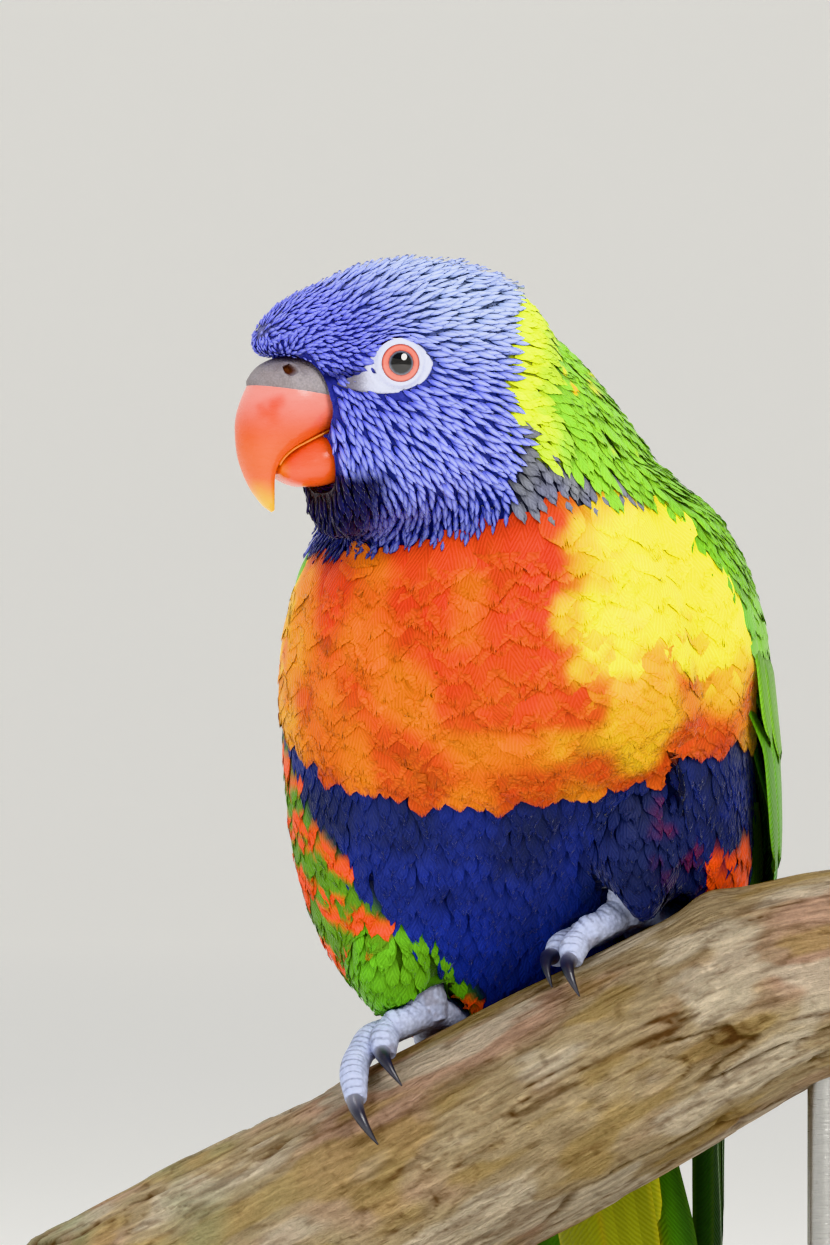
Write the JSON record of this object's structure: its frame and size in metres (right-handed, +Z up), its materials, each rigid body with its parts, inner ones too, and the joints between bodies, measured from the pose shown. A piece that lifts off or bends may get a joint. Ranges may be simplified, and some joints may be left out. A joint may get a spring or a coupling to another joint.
{
  "type": "parrot model",
  "caption": "Life-size still model of a rainbow lorikeet gripping a cut length of branch, with its head turned, on a plain stand with rods.",
  "frame": {"origin": "centre of the underside of the stand's round base, on the surface that it rests on", "axes": "+Z up, -Y towards the viewer whom the bird's breast faces, turned a little to -X; the branch rises towards +X"},
  "size_m": [0.1691, 0.148, 0.2502],
  "materials": {
    "head_plumage": "soft violet-blue feathering, matt",
    "neck_plumage": "soft lime to mid-green feathering, matt",
    "breast_plumage": "soft orange-red to yellow feathering over a violet-blue belly, matt",
    "back_plumage": "soft green feathering, matt",
    "wing_plumage": "smooth mid-green vanes with a faint sheen",
    "tail_plumage": "smooth green vanes with yellow-orange undersides",
    "thigh_plumage": "soft bright green feathering, matt",
    "bill_horn": "polished orange-red horn with a yellow tip",
    "cere_skin": "pale grey waxy skin",
    "eye_glass": "clear glossy eye, black pupil in an orange-red ring",
    "foot_skin": "pale lavender-grey scaly skin",
    "claw_horn": "dark grey horn",
    "bark": "weathered bare branch with long grain cracks",
    "base_wood": "dark stained, satin",
    "rod_steel": "plain satin steel rod"
  },
  "bodies": {
    "root": {"head": "head_plumage", "neck": "neck_plumage", "torso": "breast_plumage", "back": "back_plumage", "wing_left": "wing_plumage", "thigh_left": "thigh_plumage", "foot_left": "foot_skin", "eye_left": "eye_glass", "claw_left_inner_front": "claw_horn", "claw_left_outer_front": "claw_horn", "claw_left_inner_back": "claw_horn", "claw_left_outer_back": "claw_horn", "wing_right": "wing_plumage", "thigh_right": "thigh_plumage", "foot_right": "foot_skin", "eye_right": "eye_glass", "claw_right_inner_front": "claw_horn", "claw_right_outer_front": "claw_horn", "claw_right_inner_back": "claw_horn", "claw_right_outer_back": "claw_horn", "tail": "tail_plumage", "cere": "cere_skin", "bill_upper": "bill_horn", "bill_lower": "bill_horn", "perch": "bark", "stand_base": "base_wood", "stand_rod_low": "rod_steel", "stand_rod_high": "rod_steel"}
  },
  "joints": []
}
